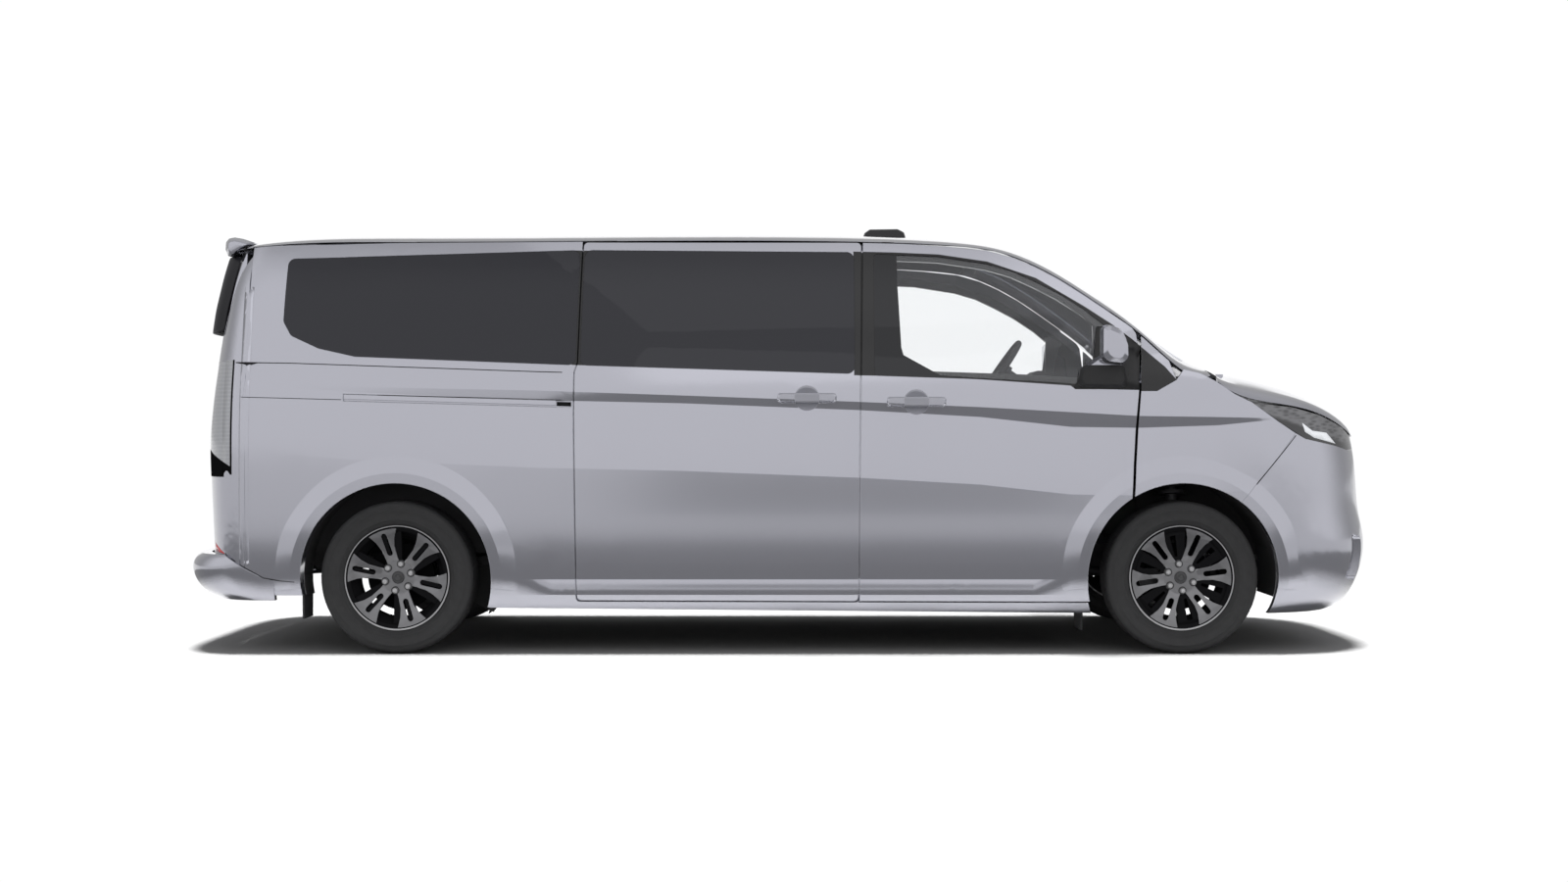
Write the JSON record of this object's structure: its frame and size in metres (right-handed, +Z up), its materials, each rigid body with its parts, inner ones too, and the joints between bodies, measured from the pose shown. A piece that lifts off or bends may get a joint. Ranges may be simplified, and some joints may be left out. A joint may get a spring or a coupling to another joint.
{
  "type": "minibus",
  "caption": "Long-wheelbase passenger minibus with two sliding side doors, a lifting tailgate, glazed cabin with seats and steered front wheels.",
  "frame": {"origin": "on the ground under the middle of the overall length and width", "axes": "+X forwards, +Y to the vehicle's left, +Z up"},
  "size_m": [5.4554, 2.274, 1.9779],
  "materials": {
    "paint": "gloss",
    "black_trim": "satin",
    "clear_glass": "clear",
    "privacy_glass": "dark tint",
    "lamp_glass": "clear",
    "tail_lamp": "pale lens",
    "underbody": "matte",
    "cast_metal": "rough",
    "engine": "rough",
    "cabin_plastic": "matte",
    "seat_fabric": "matte",
    "tyre": "matte",
    "alloy": "satin paint"
  },
  "bodies": {
    "body": {"side_wall_right": "paint", "side_wall_left": "paint", "roof_panel": "paint", "front_structure": "paint", "windscreen": "clear_glass", "sliding_door_right": "paint", "sliding_door_left": "paint", "side_glass": "privacy_glass", "front_wings": "paint", "front_bumper": "paint", "headlamps": "lamp_glass", "grille": "black_trim", "tail_lamps": "tail_lamp", "rear_bumper": "paint", "floor_pan": "underbody", "rear_axle": "cast_metal", "front_subframe": "cast_metal", "engine_block": "engine", "dashboard": "cabin_plastic", "front_seats": "seat_fabric", "rear_seats": "seat_fabric", "steering_wheel": "cabin_plastic", "roof_pod": "black_trim", "slide_rail_covers": "paint", "pillar_panels": "black_trim", "wheel_liners": "underbody", "exhaust": "cast_metal"},
    "front_door_right": {"front_door_right": "paint", "door_glass_right": "clear_glass", "door_mirror_right": "black_trim"},
    "front_door_left": {"front_door_left": "paint", "door_glass_left": "clear_glass", "door_mirror_left": "black_trim"},
    "tailgate": {"tailgate": "paint", "tailgate_glass": "privacy_glass"},
    "bonnet": {"bonnet": "paint"},
    "knuckle_left": {"knuckle_left": "cast_metal"},
    "knuckle_right": {"knuckle_right": "cast_metal"},
    "wheel_front_left": {"tyre_front_left": "tyre", "rim_front_left": "alloy"},
    "wheel_front_right": {"tyre_front_right": "tyre", "rim_front_right": "alloy"},
    "wheel_rear_left": {"tyre_rear_left": "tyre", "rim_rear_left": "alloy"},
    "wheel_rear_right": {"tyre_rear_right": "tyre", "rim_rear_right": "alloy"}
  },
  "joints": [
    {"name": "steer_left", "type": "hinge", "parent": "body", "child": "knuckle_left", "pos_m": [1.78, 0.75774, 0.338], "axis": [0, -0.1713, 0.9852], "range_deg": [-34, 34]},
    {"name": "steer_right", "type": "hinge", "parent": "body", "child": "knuckle_right", "pos_m": [1.78, -0.75774, 0.338], "axis": [0, 0.1713, 0.9852], "range_deg": [-34, 34]},
    {"name": "spin_front_left", "type": "hinge", "parent": "knuckle_left", "child": "wheel_front_left", "pos_m": [1.78, 0.868, 0.338], "axis": [0, 1, 0], "continuous": true},
    {"name": "spin_front_right", "type": "hinge", "parent": "knuckle_right", "child": "wheel_front_right", "pos_m": [1.78, -0.868, 0.338], "axis": [0, 1, 0], "continuous": true},
    {"name": "spin_rear_left", "type": "hinge", "parent": "body", "child": "wheel_rear_left", "pos_m": [-1.72, 0.868, 0.338], "axis": [0, 1, 0], "continuous": true},
    {"name": "spin_rear_right", "type": "hinge", "parent": "body", "child": "wheel_rear_right", "pos_m": [-1.72, -0.868, 0.338], "axis": [0, 1, 0], "continuous": true},
    {"name": "door_right_swing", "type": "hinge", "parent": "body", "child": "front_door_right", "pos_m": [1.51, -0.99, 0.76], "axis": [0, 0, 1], "range_deg": [0, 68]},
    {"name": "door_left_swing", "type": "hinge", "parent": "body", "child": "front_door_left", "pos_m": [1.51, 0.99, 0.76], "axis": [0, 0, 1], "range_deg": [-68, 0]},
    {"name": "tailgate_lift", "type": "hinge", "parent": "body", "child": "tailgate", "pos_m": [-2.358, 0.48, 1.836], "axis": [0, 1, 0], "range_deg": [0, 82]},
    {"name": "bonnet_lift", "type": "hinge", "parent": "body", "child": "bonnet", "pos_m": [1.935, 0.7, 1.225], "axis": [0, 1, 0], "range_deg": [-50, 0]}
  ],
  "couplings": [
    {"joint": "steer_right", "follows": "steer_left", "ratio": 1}
  ]
}
